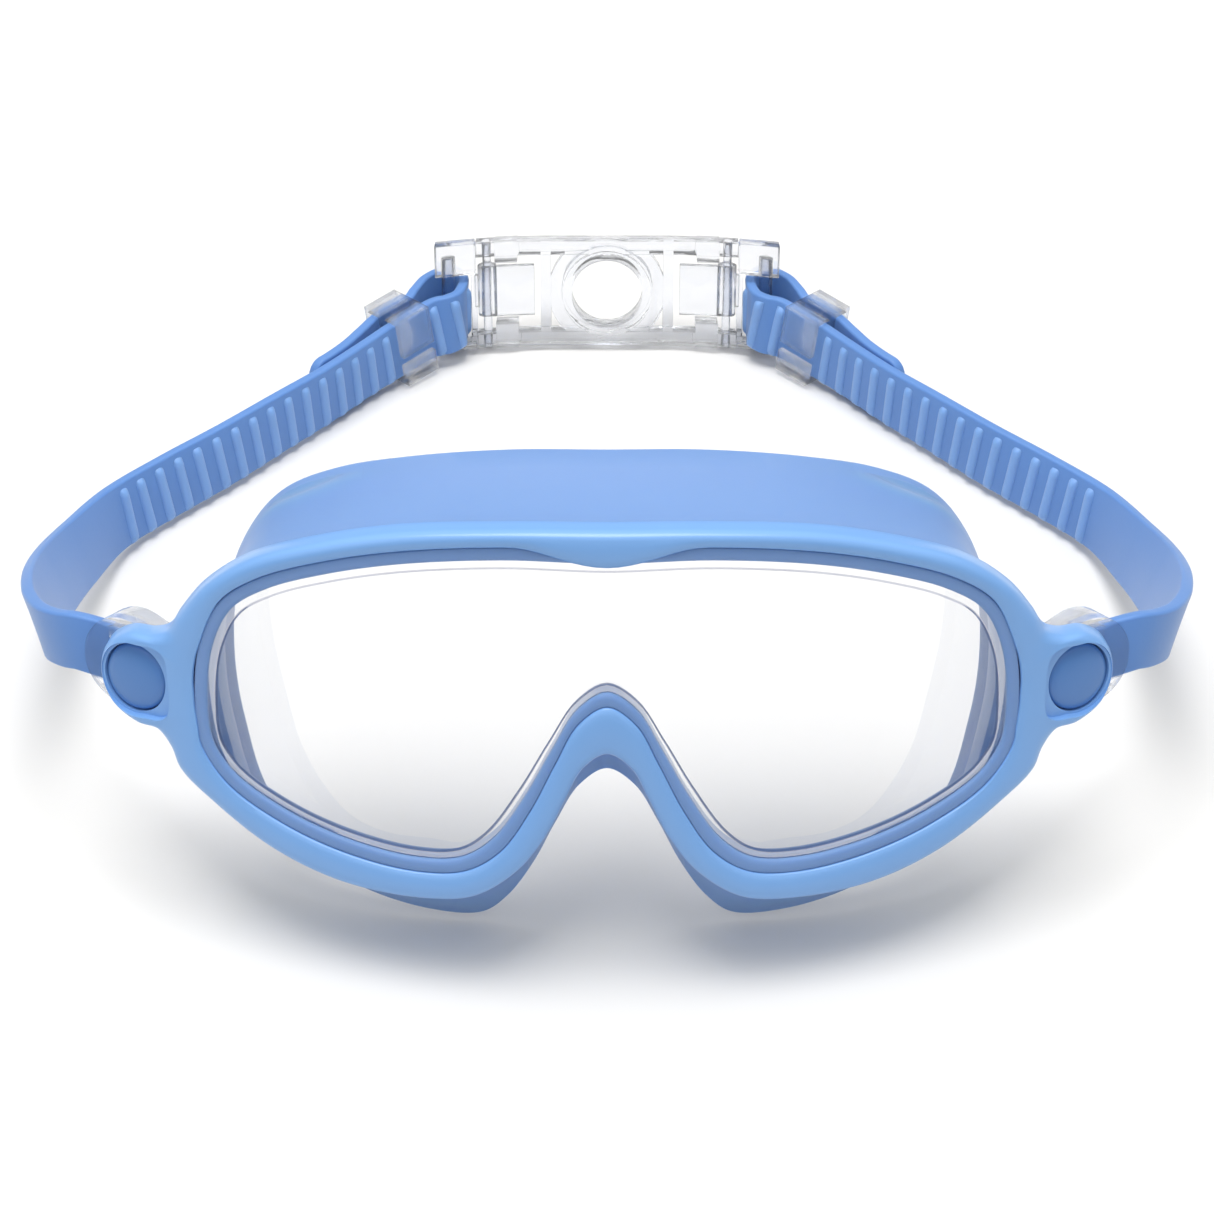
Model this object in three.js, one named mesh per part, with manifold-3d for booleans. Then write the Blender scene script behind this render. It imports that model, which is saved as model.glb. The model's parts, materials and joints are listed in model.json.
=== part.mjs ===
// Swim mask with a quick-adjust rear buckle, in millimetres, +Z up.
// X runs from ear to ear, Y runs from the lens back to the buckle. It stands as it is stored:
// the face skirt and the strap rest on the surface at Z = 0, and the lens leans back.
import * as THREE from "three";
import { mergeVertices } from "three/addons/utils/BufferGeometryUtils.js";
import Module from "manifold-3d";

const wasm = await Module();
wasm.setup();

// ---------- driving dimensions ----------
const GAP = 0.3; // play between two pieces that touch
const LEAN = THREE.MathUtils.degToRad(19); // how far the lens leans back
const LENS_RADIUS = 170; // the cylinder that the lens is bent round
const LENS_THICKNESS = 1.7;
const LENS_DEPTH = 1.25; // from the front of the lip back to the lens
const FRAME_BACK = 5.2; // depth of the hard frame
const STATIONS = 72; // sections around the face

const EAR = { x: 71.6, z: 30.7, radius: 7.5, front: -0.6, thickness: 5.0 };
const BUTTON = { x: 1.4, radius: 5.5, front: 0.7, back: 3.6, stemRadius: 3.3, stemEnd: 7.9, dome: 0.5 };
const POCKET = { inner: 6.9, depth: 1.2, rim: 0.45 }; // the recess round the button, longer toward the lens
const BROW = { half: 14.5, drop: 2.4 }; // how far the frame dips over the middle of the lens
const CLIP = { front: 5.1, thickness: 5.4, pivotRadius: 4.4, endRadius: 7.3, reach: 7.0, boreEnd: 9.4 };

const STRAP = { thickness: 2.2, width: 13, rootWidth: 9.5 };
const HINGE_X = 83.6; // the plane where the strap leaves the part held in the clip

const BUCKLE = { lean: THREE.MathUtils.degToRad(12), y: 165.2, height: 23.5, depth: 4.0, half: 28.0 };
const BUCKLE_BOW = { flat: 10, radius: 84 }; // the buckle's ends curve round the head
const RAIL = 3.0;
const RING = { outer: 12.6, hub: 9.6, hole: 7.6, hubDepth: 5.4 };
const PIN = { x: 25.8, radius: 0.9 };
const BAR = { x: 34.0, radius: 1.4, z: 9.0 };
const CHEEK = { from: 19.2, to: 24.0, low: 5.2, high: 4.4 }; // the frame's corner blocks beside the levers
const LEVER = { middle: 12.6, height: 11.2, thickness: 1.6, tabEnd: 15.6 };
const KEEPER = {
  at: [42.0, 153.2, 7.8],
  run: [-0.707, 0.704, 0.07],
  up: [-0.05, 0.13],
  length: 8.5,
  across: 11.2,
  height: 15.6,
  wall: 1.3,
  slot: 3.6,
  gap: 5.5, // from the middle of the front channel to the middle of the back one
};

// Half of each ring round the face, from the brow to the nose bridge: x and z of the line where
// the hard frame meets the soft lip, x and z of the frame's outer edge, and x, depth and z of
// the skirt's rim.
const FACE = [
  { lip: [0, 57.3], edge: [0, 60.2], rim: [0, 19.5, 66.8] },
  { lip: [15, 57.6], edge: [15, 60.1], rim: [15, 19.8, 66.7] },
  { lip: [30, 56.3], edge: [30.3, 59.0], rim: [30, 20.5, 65.4] },
  { lip: [42, 53.7], edge: [42.8, 56.3], rim: [40.5, 21.8, 63.2] },
  { lip: [51.5, 50.2], edge: [53.1, 52.6], rim: [49.1, 23.5, 59.2] },
  { lip: [57.6, 45.8], edge: [60.4, 47.4], rim: [54.9, 25.3, 52.5] },
  { lip: [61.2, 39.0], edge: [64.5, 40.0], rim: [59.4, 26.8, 41.5] },
  { lip: [62.7, 30.0], edge: [66.2, 30.0], rim: [60.6, 27.5, 30] },
  { lip: [62.1, 21.5], edge: [65.0, 20.9], rim: [59.4, 26.8, 19] },
  { lip: [58.2, 15.8], edge: [60.9, 12.0], rim: [55.5, 24.5, 7] },
  { lip: [50, 10.6], edge: [51.9, 5.8], rim: [48.3, 21.5, -1.3] },
  { lip: [40, 6.8], edge: [41.3, 1.6], rim: [39, 19, -6.3] },
  { lip: [29, 4.8], edge: [29, 0], rim: [28.5, 17.5, -9.3] },
  { lip: [21.5, 5.4], edge: [20.3, 0.9], rim: [20, 17, -9.6] },
  { lip: [16.1, 8.9], edge: [13.5, 5.6], rim: [15.8, 16.5, -6.4] },
  { lip: [11.5, 15.8], edge: [9.1, 11.6], rim: [11.6, 16, -0.2] },
  { lip: [7.7, 23.6], edge: [6.1, 17.9], rim: [8.0, 15.5, 7.2] },
  { lip: [4.2, 30.2], edge: [3.6, 22.8], rim: [4.3, 15, 13.8] },
  { lip: [0, 33], edge: [0, 25.2], rim: [0, 15, 16.6] },
];

// The right strap's middle line and, for each point, the X and Y parts of the direction across
// the band: from the clip round the bend, along the surface to the keeper, round the buckle's
// bar, and back through the keeper to the tail's tip behind the run.
const STRAP_ROUTE = [
  { at: [83.6, 22.2, 37.2], up: [0, 0.32] },
  { at: [86.4, 23.6, 36.5], up: [0.02, 0.28] },
  { at: [89.9, 27.2, 34.7], up: [0.08, 0.19] },
  { at: [93.2, 34.6, 31.0], up: [0.2, 0.1] },
  { at: [95.8, 46.5, 25.0], up: [0.3, 0.04] },
  { at: [97.7, 60.5, 18.2], up: [0.32, 0.04] },
  { at: [97.5, 76.5, 11.5], up: [0.27, 0.08] },
  { at: [93.8, 93.0, 7.3], up: [0.14, 0.13] },
  { at: [85.9, 103.4, 6.7], up: [0.1, 0.16] },
  { at: [76.0, 114.0, 6.7], up: [0.05, 0.16] },
  { at: [66.3, 125.4, 6.7], up: [0, 0.11] },
  { at: [57.8, 135.2, 6.7], up: [-0.02, 0.06] },
  { at: [50.3, 144.4, 7.0], up: [-0.04, 0.07] },
  { at: [45.2, 150.0, 7.5], up: [-0.05, 0.13] },
  { at: [42.0, 153.2, 7.8], up: [-0.05, 0.13] },
  { at: [38.8, 156.4, 8.1], up: [-0.05, 0.13] },
  { at: [36.4, 157.9, 8.5], up: [-0.04, 0.17] },
  { at: [33.8, 158.6, 8.8], up: [-0.04, 0.2] },
  { at: [32.0, 160.2, 9.0], up: [-0.04, 0.21] },
  { at: [31.2, 163.0, 9.1], up: [-0.04, 0.21] },
  { at: [31.3, 166.0, 9.2], up: [-0.04, 0.21] },
  { at: [32.6, 168.5, 9.3], up: [-0.04, 0.21] },
  { at: [35.0, 169.2, 9.2], up: [-0.04, 0.2] },
  { at: [38.2, 167.2, 8.9], up: [-0.04, 0.19] },
  { at: [40.7, 163.9, 8.2], up: [-0.05, 0.15] },
  { at: [42.7, 160.3, 7.6], up: [-0.05, 0.13] },
  { at: [45.9, 157.1, 7.3], up: [-0.05, 0.13] },
  { at: [49.1, 153.9, 7.0], up: [-0.05, 0.13] },
  { at: [51.6, 149.5, 6.9], up: [-0.04, 0.09] },
  { at: [54.4, 144.2, 6.9], up: [-0.03, 0.07] },
  { at: [57.4, 140.0, 6.8], up: [-0.02, 0.06] },
  { at: [60.4, 136.4, 6.8], up: [-0.01, 0.07] },
];

const BLUE = { color: 0x6699d8, roughness: 0.45, metalness: 0 };
const SOFT_BLUE = { color: 0x8fb2e4, roughness: 0.6, metalness: 0 };
const STRAP_BLUE = { color: 0x5f8cc9, roughness: 0.6, metalness: 0 };
const BUTTON_BLUE = { color: 0x4a77bd, roughness: 0.4, metalness: 0 };
const CLEAR = { color: 0xe8eef4, roughness: 0.08, metalness: 0, transparent: true, opacity: 0.5 };
const LENS_CLEAR = { color: 0xf4f8fb, roughness: 0.03, metalness: 0, transparent: true, opacity: 0.3 };

// ---------- solids ----------
const vec = (x, y, z) => new THREE.Vector3(x, y, z);

// The signed volume of an indexed geometry.
function volumeOf(geometry) {
  const points = geometry.attributes.position;
  const index = geometry.index;
  const a = vec(0, 0, 0);
  const b = vec(0, 0, 0);
  const c = vec(0, 0, 0);
  let sum = 0;
  for (let i = 0; i < index.count; i += 3) {
    a.fromBufferAttribute(points, index.getX(i));
    b.fromBufferAttribute(points, index.getX(i + 1));
    c.fromBufferAttribute(points, index.getX(i + 2));
    sum += a.dot(b.cross(c)) / 6;
  }
  return sum;
}

function turnedRound(geometry) {
  const index = geometry.index;
  for (let i = 0; i < index.count; i += 3) {
    const first = index.getX(i);
    index.setX(i, index.getX(i + 1));
    index.setX(i + 1, first);
  }
  return geometry;
}

// A skin over loops that all have the same number of points. A ring's last loop joins its first;
// otherwise the two convex end loops are closed by fans.
function loft(loops, ring = false) {
  const size = loops[0].length;
  const positions = loops.flat().flatMap((p) => [p.x, p.y, p.z]);
  const index = [];
  const spans = ring ? loops.length : loops.length - 1;
  for (let i = 0; i < spans; i++) {
    const here = i * size;
    const next = ((i + 1) % loops.length) * size;
    for (let j = 0; j < size; j++) {
      const k = (j + 1) % size;
      index.push(here + j, here + k, next + k, here + j, next + k, next + j);
    }
  }
  if (!ring) {
    const last = (loops.length - 1) * size;
    for (let j = 1; j < size - 1; j++) {
      index.push(0, j + 1, j);
      index.push(last, last + j, last + j + 1);
    }
  }
  const geometry = new THREE.BufferGeometry();
  geometry.setAttribute("position", new THREE.Float32BufferAttribute(positions, 3));
  geometry.setIndex(index);
  return volumeOf(geometry) < 0 ? turnedRound(geometry) : geometry;
}

function solid(geometry) {
  const bare = geometry.clone();
  bare.deleteAttribute("normal");
  bare.deleteAttribute("uv");
  const merged = mergeVertices(bare, 1e-4);
  if (volumeOf(merged) < 0) turnedRound(merged);
  return new wasm.Manifold(
    new wasm.Mesh({
      numProp: 3,
      vertProperties: new Float32Array(merged.attributes.position.array),
      triVerts: new Uint32Array(merged.index.array),
    }),
  );
}

function geometryOf(manifold) {
  const mesh = manifold.getMesh();
  const geometry = new THREE.BufferGeometry();
  geometry.setAttribute("position", new THREE.BufferAttribute(mesh.vertProperties, 3));
  geometry.setIndex(new THREE.BufferAttribute(mesh.triVerts, 1));
  return geometry;
}

const joined = (...parts) => geometryOf(parts.map(solid).reduce((a, b) => a.add(b)));
const cut = (body, ...tools) => geometryOf(tools.map(solid).reduce((a, b) => a.subtract(b), solid(body)));

function mirrored(geometry) {
  return turnedRound(mergeVertices(geometry.clone().deleteAttribute("normal").deleteAttribute("uv")).scale(-1, 1, 1));
}

function block(sx, sy, sz, x, y, z) {
  return new THREE.BoxGeometry(sx, sy, sz).translate(x, y, z);
}

// A cylinder along Y from front to back, or along Z from low to high.
function drumY(radius, front, back, x, z, sides = 32) {
  return new THREE.CylinderGeometry(radius, radius, back - front, sides)
    .translate(0, (back + front) / 2, 0)
    .translate(x, 0, z);
}
function drumZ(radius, low, high, x, y, sides = 16) {
  return new THREE.CylinderGeometry(radius, radius, high - low, sides)
    .rotateX(Math.PI / 2)
    .translate(x, y, (high + low) / 2);
}

// A flat outline in X and Z, with depth running back along Y from front.
function plate(shape, front, thickness, curveSegments = 8) {
  return new THREE.ExtrudeGeometry(shape, { depth: thickness, bevelEnabled: false, curveSegments })
    .rotateX(Math.PI / 2)
    .scale(1, -1, 1)
    .translate(0, front, 0);
}

// ---------- the face: lens, frame and skirt ----------
const bow = (x) => LENS_RADIUS - Math.sqrt(LENS_RADIUS ** 2 - x ** 2);

// A closed smooth line from half of it, mirrored in X.
function ringCurve(half) {
  const other = half.slice(1, -1).reverse().map((p) => vec(-p.x, p.y, p.z));
  return new THREE.CatmullRomCurve3([...half, ...other], true, "centripetal");
}

const lipCurve = ringCurve(FACE.map(({ lip: [x, z] }) => vec(x, 0, z)));
const edgeCurve = ringCurve(FACE.map(({ edge: [x, z] }) => vec(x, 0, z)));
const rimCurve = ringCurve(FACE.map(({ rim: [x, y, z] }) => vec(x, y, z)));

// The three lines and the outward direction at one place round the face, t from 0 to 1.
function station(t) {
  const lip = lipCurve.getPoint(t);
  const edge = edgeCurve.getPoint(t);
  const out = edge.clone().sub(lip).normalize();
  return { lip, edge, rim: rimCurve.getPoint(t), out };
}

// A point shifted outward from a line on the bent front, at a depth behind it.
function onBow(point, out, shift, depth) {
  const x = point.x + out.x * shift;
  return vec(x, bow(x) + depth, point.z + out.z * shift);
}

function faceRing(section) {
  const loops = [];
  for (let i = 0; i < STATIONS; i++) loops.push(section(station(i / STATIONS)));
  return loft(loops, true);
}

// How far the frame's brow reaches down over the lens at a place round the face.
function browDrop({ x, z }) {
  if (z < 50 || Math.abs(x) > BROW.half) return 0;
  return BROW.drop * Math.cos((Math.PI * x) / BROW.half / 2) ** 2;
}

function frameBand() {
  return faceRing(({ lip, edge, out }) => {
    const drop = browDrop(lip);
    const raised = Math.min(1, drop); // the brow passes in front of the soft lip
    return [
      onBow(lip, out, 0, FRAME_BACK),
      onBow(lip, out, 0, 0.9 - 1.45 * raised),
      onBow(lip, out, -drop, 0.5 - 1.05 * raised),
      onBow(lip, out, 0.6 - drop, -0.1 - 0.9 * raised),
      onBow(lip, out, 1.5 - 0.4 * drop, -0.7 - 0.5 * raised),
      onBow(edge, out, -1.2, -0.4 - 0.4 * raised),
      onBow(edge, out, -0.3, 0.6),
      onBow(edge, out, 0, 1.8),
      onBow(edge, out, 0, FRAME_BACK),
    ];
  });
}

function skirt() {
  const slotBack = LENS_DEPTH + LENS_THICKNESS + GAP;
  return faceRing(({ lip, edge, rim, out }) => {
    const tuck = 0.4 + 2.6 * out.x ** 4; // the wall passes inside the clips
    const narrow = THREE.MathUtils.smoothstep(Math.abs(lip.x), 28, 50);
    const flange = 5.2 - 3.8 * narrow; // the flange narrows at the temples
    const inward = (shift, back) => rim.clone().addScaledVector(out, -shift).add(vec(0, back, 0));
    return [
      onBow(lip, out, -GAP, 0.7),
      onBow(lip, out, -0.9, 0),
      onBow(lip, out, -2.1, 0.4),
      onBow(lip, out, -2.1, LENS_DEPTH - GAP),
      onBow(lip, out, -0.9, LENS_DEPTH - GAP),
      onBow(lip, out, -0.9, slotBack),
      onBow(lip, out, -2.1, slotBack),
      onBow(lip, out, -2.1, FRAME_BACK),
      onBow(edge, out, -2 - tuck, FRAME_BACK + 2.2),
      inward(1.3, -1.6),
      inward(flange, -0.8),
      inward(flange, 0.5),
      inward(0.5, 0.3),
      inward(0, -0.7),
      onBow(edge, out, -tuck, FRAME_BACK + 1.8),
      onBow(edge, out, -tuck, FRAME_BACK + GAP),
      onBow(lip, out, -GAP, FRAME_BACK + GAP),
    ];
  });
}

// The lens, as upright strips from ear to ear between the top and bottom of its outline.
function lens() {
  const inset = 0.9 + GAP;
  const side = 7.3 / 36; // where the outline turns from top to bottom beside the ear
  const strips = 24;
  const at = (t, depth) => {
    const { lip, out } = station((t + 1) % 1);
    return onBow(lip, out, -inset, depth);
  };
  const strip = (s, sign) => {
    const top = sign * side * (1 - s);
    const bottom = sign * (side + (0.5 - side) * s);
    const back = LENS_DEPTH + LENS_THICKNESS;
    return [at(top, LENS_DEPTH), at(bottom, LENS_DEPTH), at(bottom, back), at(top, back)];
  };
  const loops = [];
  for (let i = 1; i <= strips; i++) loops.push(strip(i / strips, 1));
  for (let i = strips - 1; i >= 1; i--) loops.push(strip(i / strips, -1));
  return loft(loops);
}

// The ear's own frame: X along the ear outward, Y into the ear, Z up, turned back with the lens.
function earPlaced(geometry) {
  const yaw = Math.asin(EAR.x / LENS_RADIUS);
  return geometry.rotateZ(yaw).translate(EAR.x, bow(EAR.x), EAR.z);
}

function earPlate() {
  const shape = new THREE.Shape();
  shape.moveTo(-8.2, -13.5);
  shape.quadraticCurveTo(-5.6, -8.4, -2.4, -7.1);
  shape.absarc(0, 0, EAR.radius, THREE.MathUtils.degToRad(-109), THREE.MathUtils.degToRad(109), false);
  shape.quadraticCurveTo(-5.4, 7.8, -7.6, 12.0);
  shape.closePath();
  return plate(shape, EAR.front, EAR.thickness, 14);
}

function frame() {
  const ear = earPlaced(earPlate());
  const { x, radius } = BUTTON;
  const wide = radius + POCKET.rim;
  const floor = EAR.front + POCKET.depth;
  const hole = earPlaced(drumY(radius + GAP, -2, 7, x, 0, 40));
  const round = drumY(wide, -2, floor, x, 0, 40);
  const long = block(POCKET.inner, floor + 2, 2 * wide, x - POCKET.inner / 2, floor / 2 - 1, 0);
  const pocket = earPlaced(joined(round, long));
  return cut(joined(frameBand(), ear, mirrored(ear)), hole, pocket, mirrored(hole), mirrored(pocket));
}

// ---------- side clips and buttons ----------
function button() {
  const { radius, front, back, stemRadius, stemEnd, dome } = BUTTON;
  const profile = [
    [0, front],
    [radius * 0.5, front + dome * 0.25],
    [radius - 0.5, front + dome],
    [radius, front + dome + 0.6],
    [radius, back],
    [stemRadius, back],
    [stemRadius, stemEnd],
    [0, stemEnd],
  ];
  const turned = new THREE.LatheGeometry(profile.map(([r, y]) => new THREE.Vector2(r, y)), 36);
  return earPlaced(turned.translate(BUTTON.x, 0, 0));
}

// Outline round two circles of different size on the X axis.
function hullShape(near, far, reach) {
  const turn = Math.acos((near - far) / reach);
  const shape = new THREE.Shape();
  shape.absarc(0, 0, near, turn, -turn, false);
  shape.absarc(reach, 0, far, -turn, turn, false);
  shape.closePath();
  return shape;
}

function sideClip() {
  const body = plate(hullShape(CLIP.pivotRadius, CLIP.endRadius, CLIP.reach), CLIP.front, CLIP.thickness, 16);
  const middle = CLIP.front + CLIP.thickness / 2;
  const slot = block(13, STRAP.thickness + 2 * GAP, STRAP.rootWidth + 2 * GAP, 10.5, middle, 0);
  const bore = drumY(BUTTON.stemRadius + GAP, CLIP.front - 1, CLIP.boreEnd, BUTTON.x, 0, 28);
  return earPlaced(cut(body, slot, bore));
}

// ---------- straps ----------
const mask = new THREE.Group();
mask.rotation.x = -LEAN;
mask.position.set(0, -14.71, 15.64);
mask.updateMatrix();

const upright = (x, y) => vec(x, y, Math.sqrt(1 - x * x - y * y));

// One cross-section of the band, with its four corners.
function bandLoop(at, along, up, width) {
  const across = up.clone().addScaledVector(along, -up.dot(along)).normalize();
  const outward = vec(0, 0, 0).crossVectors(along, across).normalize();
  const half = STRAP.thickness / 2;
  return [
    [-half, -width / 2],
    [half, -width / 2],
    [half, width / 2],
    [-half, width / 2],
  ].map(([n, w]) => at.clone().addScaledVector(outward, n).addScaledVector(across, w));
}

function band(points, ups, widths, curve) {
  const steps = (points.length - 1) * 2;
  const upCurve = new THREE.CatmullRomCurve3(ups, false, "catmullrom");
  const loops = [];
  for (let i = 0; i <= steps; i++) {
    const t = i / steps;
    const near = Math.min(points.length - 2, Math.floor(t * (points.length - 1)));
    const part = t * (points.length - 1) - near;
    const width = THREE.MathUtils.lerp(widths[near], widths[near + 1], part);
    loops.push(bandLoop(curve.getPoint(t), curve.getTangent(t), upCurve.getPoint(t), width));
  }
  return loft(loops);
}

function strap() {
  const points = STRAP_ROUTE.map(({ at }) => vec(...at));
  const curve = new THREE.CatmullRomCurve3(points, false, "centripetal");
  const widths = points.map((point, i) => {
    const grow = THREE.MathUtils.smoothstep(i, 0, 5);
    return THREE.MathUtils.lerp(STRAP.rootWidth, STRAP.width, grow);
  });
  const ups = STRAP_ROUTE.map(({ up }) => upright(...up));
  const whole = band(points, ups, widths, curve);
  return cut(whole, block(20, 40, 40, HINGE_X + GAP / 2 - 10, 22, 37));
}

// The stub of strap held in the clip, up to the plane where the strap leaves it.
function strapEnd() {
  const middle = CLIP.front + CLIP.thickness / 2;
  const stub = earPlaced(block(12.6, STRAP.thickness, STRAP.rootWidth, 11.7, middle, 0)).applyMatrix4(mask.matrix);
  return cut(stub, block(20, 40, 40, HINGE_X - GAP / 2 + 10, 22, 37));
}

// ---------- keeper ----------
// A clear slide with two channels, one for the run and one for the tail. Its front wall is open
// along a gap, so that the band can be slipped in. X is across, Z is up, Y is along the strap.
function keeper() {
  const { length, across, height, wall, slot, gap } = KEEPER;
  const half = height / 2;
  const channel = STRAP.width / 2 + 0.35;
  const front = -slot / 2 - wall;
  const shape = new THREE.Shape();
  shape.moveTo(front, -half);
  shape.lineTo(front + across, -half);
  shape.lineTo(front + across, half);
  shape.lineTo(front, half);
  shape.lineTo(front, -0.9);
  shape.lineTo(-slot / 2, -0.9);
  shape.lineTo(-slot / 2, channel);
  shape.lineTo(slot / 2, channel);
  shape.lineTo(slot / 2, -channel);
  shape.lineTo(-slot / 2, -channel);
  shape.lineTo(-slot / 2, -2.9);
  shape.lineTo(front, -2.9);
  shape.closePath();
  const rear = new THREE.Path();
  const low = gap - slot / 2;
  const high = gap + slot / 2;
  const tall = channel - 0.1;
  rear.moveTo(low, -tall);
  rear.lineTo(low, tall);
  rear.lineTo(high, tall);
  rear.lineTo(high, -tall);
  rear.closePath();
  shape.holes.push(rear);
  const body = geometryOf(solid(plate(shape, -length / 2, length)));
  const run = vec(...KEEPER.run).normalize();
  const back = vec(0, 0, 0).crossVectors(run, upright(...KEEPER.up)).normalize();
  const up = vec(0, 0, 0).crossVectors(back, run).normalize();
  return body.applyMatrix4(new THREE.Matrix4().makeBasis(back, run, up).setPosition(vec(...KEEPER.at)));
}

// ---------- buckle ----------
// In the buckle's frame: X to the side, Z up from its lower edge, Y back from its middle.
const buckle = new THREE.Group();
buckle.rotation.x = -BUCKLE.lean;
buckle.position.set(0, BUCKLE.y, 0);
const buckleMiddle = BUCKLE.height / 2;
const plateFront = -BUCKLE.depth / 2;

// Bows a buckle piece forward at its ends, after cutting its long faces up.
function bowed(geometry, longest = 4) {
  const forward = (x) => Math.max(0, Math.abs(x) - BUCKLE_BOW.flat) ** 2 / (2 * BUCKLE_BOW.radius);
  const shift = (point) => {
    point[1] -= forward(point[0]);
  };
  return geometryOf(solid(geometry).refineToLength(longest).warp(shift));
}

function buckleFrame() {
  const railLength = 2 * BUCKLE.half;
  const top = block(railLength, BUCKLE.depth, RAIL, 0, 0, BUCKLE.height - RAIL / 2);
  const bottom = block(railLength, BUCKLE.depth, RAIL, 0, 0, RAIL / 2);
  const shape = new THREE.Shape();
  shape.absarc(0, buckleMiddle, RING.outer, 0, Math.PI * 2);
  const disc = geometryOf(
    solid(plate(shape, plateFront + 0.6, BUCKLE.depth - 1.2, 20)).intersect(
      solid(block(40, 20, BUCKLE.height - 1, 0, 0, buckleMiddle)),
    ),
  );
  const hub = drumY(RING.hub, -RING.hubDepth / 2, RING.hubDepth / 2, 0, buckleMiddle, 40);
  const hole = drumY(RING.hole, -10, 10, 0, buckleMiddle, 40);
  const posts = [-1, 1].map((side) =>
    block(2.2, BUCKLE.depth - 0.4, BUCKLE.height - 1, side * (RING.outer + 0.6), 0, buckleMiddle),
  );
  const cheeks = [-1, 1].flatMap((side) => {
    const x = (side * (CHEEK.from + CHEEK.to)) / 2;
    const width = CHEEK.to - CHEEK.from;
    return [
      block(width, BUCKLE.depth + 0.8, CHEEK.low, x, 0, CHEEK.low / 2),
      block(width, BUCKLE.depth + 0.8, CHEEK.high, x, 0, BUCKLE.height - CHEEK.high / 2),
    ];
  });
  const seats = [-1, 1].map((side) => drumZ(PIN.radius + 0.06, -5, 30, side * PIN.x, 0, 20));
  return bowed(cut(joined(top, bottom, disc, hub, ...posts, ...cheeks), hole, ...seats), 6);
}

// The end piece: two arms that snap onto the frame's rails and hold the bar.
function bail() {
  const start = BUCKLE.half + GAP;
  const length = BAR.x + 2.6 - start;
  const low = BAR.z - STRAP.width / 2 - 1.0;
  const high = BAR.z + STRAP.width / 2 + 1.2;
  const middle = start + length / 2;
  const foot = block(length, BUCKLE.depth, low, middle, 0, low / 2);
  const head = block(length, BUCKLE.depth, BUCKLE.height - high, middle, 0, (BUCKLE.height + high) / 2);
  const seat = drumZ(BAR.radius + 0.05, 0.4, BUCKLE.height - 2.9, BAR.x, 0, 24);
  const web = block(1.2, BUCKLE.depth - 0.8, BUCKLE.height - 1, start + 0.4, 0, buckleMiddle);
  const window = block(4, 4, BUCKLE.height - 2 * RAIL - 1, start + 0.9, -1.2, buckleMiddle);
  return bowed(cut(joined(cut(web, window), foot, head), seat), 6);
}

function lever() {
  const { middle, height, thickness, tabEnd } = LEVER;
  const low = middle - height / 2;
  const tab = block(PIN.x - tabEnd, thickness, height, (PIN.x + tabEnd) / 2, -1.2, middle);
  const barrel = drumZ(2.0, low, low + height, PIN.x, 0, 20);
  const pawl = block(2.4, 1.4, height - 4, PIN.x + 1.4, -0.3, middle);
  return bowed(cut(joined(tab, barrel, pawl), drumZ(PIN.radius + 0.06, -5, 30, PIN.x, 0, 20)), 6);
}

// ---------- assembly ----------
function mesh(name, geometry, finish) {
  geometry.computeVertexNormals();
  const made = new THREE.Mesh(geometry, new THREE.MeshStandardMaterial(finish));
  made.name = name;
  return made;
}

// The same piece on both sides; geometry is made for the right, at +X.
function pair(group, name, geometry, finish) {
  const right = geometry.clone();
  group.add(mesh("left_" + name, mirrored(right), finish));
  group.add(mesh("right_" + name, right, finish));
}

const goggles = new THREE.Group();
goggles.add(mask, buckle);
mask.add(mesh("lens", lens(), LENS_CLEAR));
mask.add(mesh("frame", frame(), BLUE));
mask.add(mesh("face_skirt", skirt(), SOFT_BLUE));
pair(mask, "button", button(), BUTTON_BLUE);
pair(mask, "side_clip", sideClip(), CLEAR);
pair(goggles, "strap_end", strapEnd(), STRAP_BLUE);
pair(goggles, "strap", strap(), STRAP_BLUE);
pair(goggles, "keeper", keeper(), CLEAR);
buckle.add(mesh("buckle_frame", buckleFrame(), CLEAR));
pair(buckle, "bail", bail(), CLEAR);
pair(buckle, "strap_bar", bowed(drumZ(BAR.radius, 0.6, BUCKLE.height - 3.1, BAR.x, 0, 20), 30), CLEAR);
pair(buckle, "lever", lever(), CLEAR);
pair(buckle, "lever_pin", bowed(drumZ(PIN.radius, 0.6, BUCKLE.height - 0.6, PIN.x, 0, 16), 30), CLEAR);

// The origin is the middle of the footprint, on the surface that the goggles stand on.
goggles.updateMatrixWorld(true);
const box = new THREE.Box3().setFromObject(goggles, true);
const middle = box.getCenter(vec(0, 0, 0));
for (const child of [...goggles.children]) child.position.sub(vec(middle.x, middle.y, box.min.z));

export default goggles;
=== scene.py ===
import json
import math

import bmesh
import bpy
from mathutils import Matrix, Vector


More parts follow.
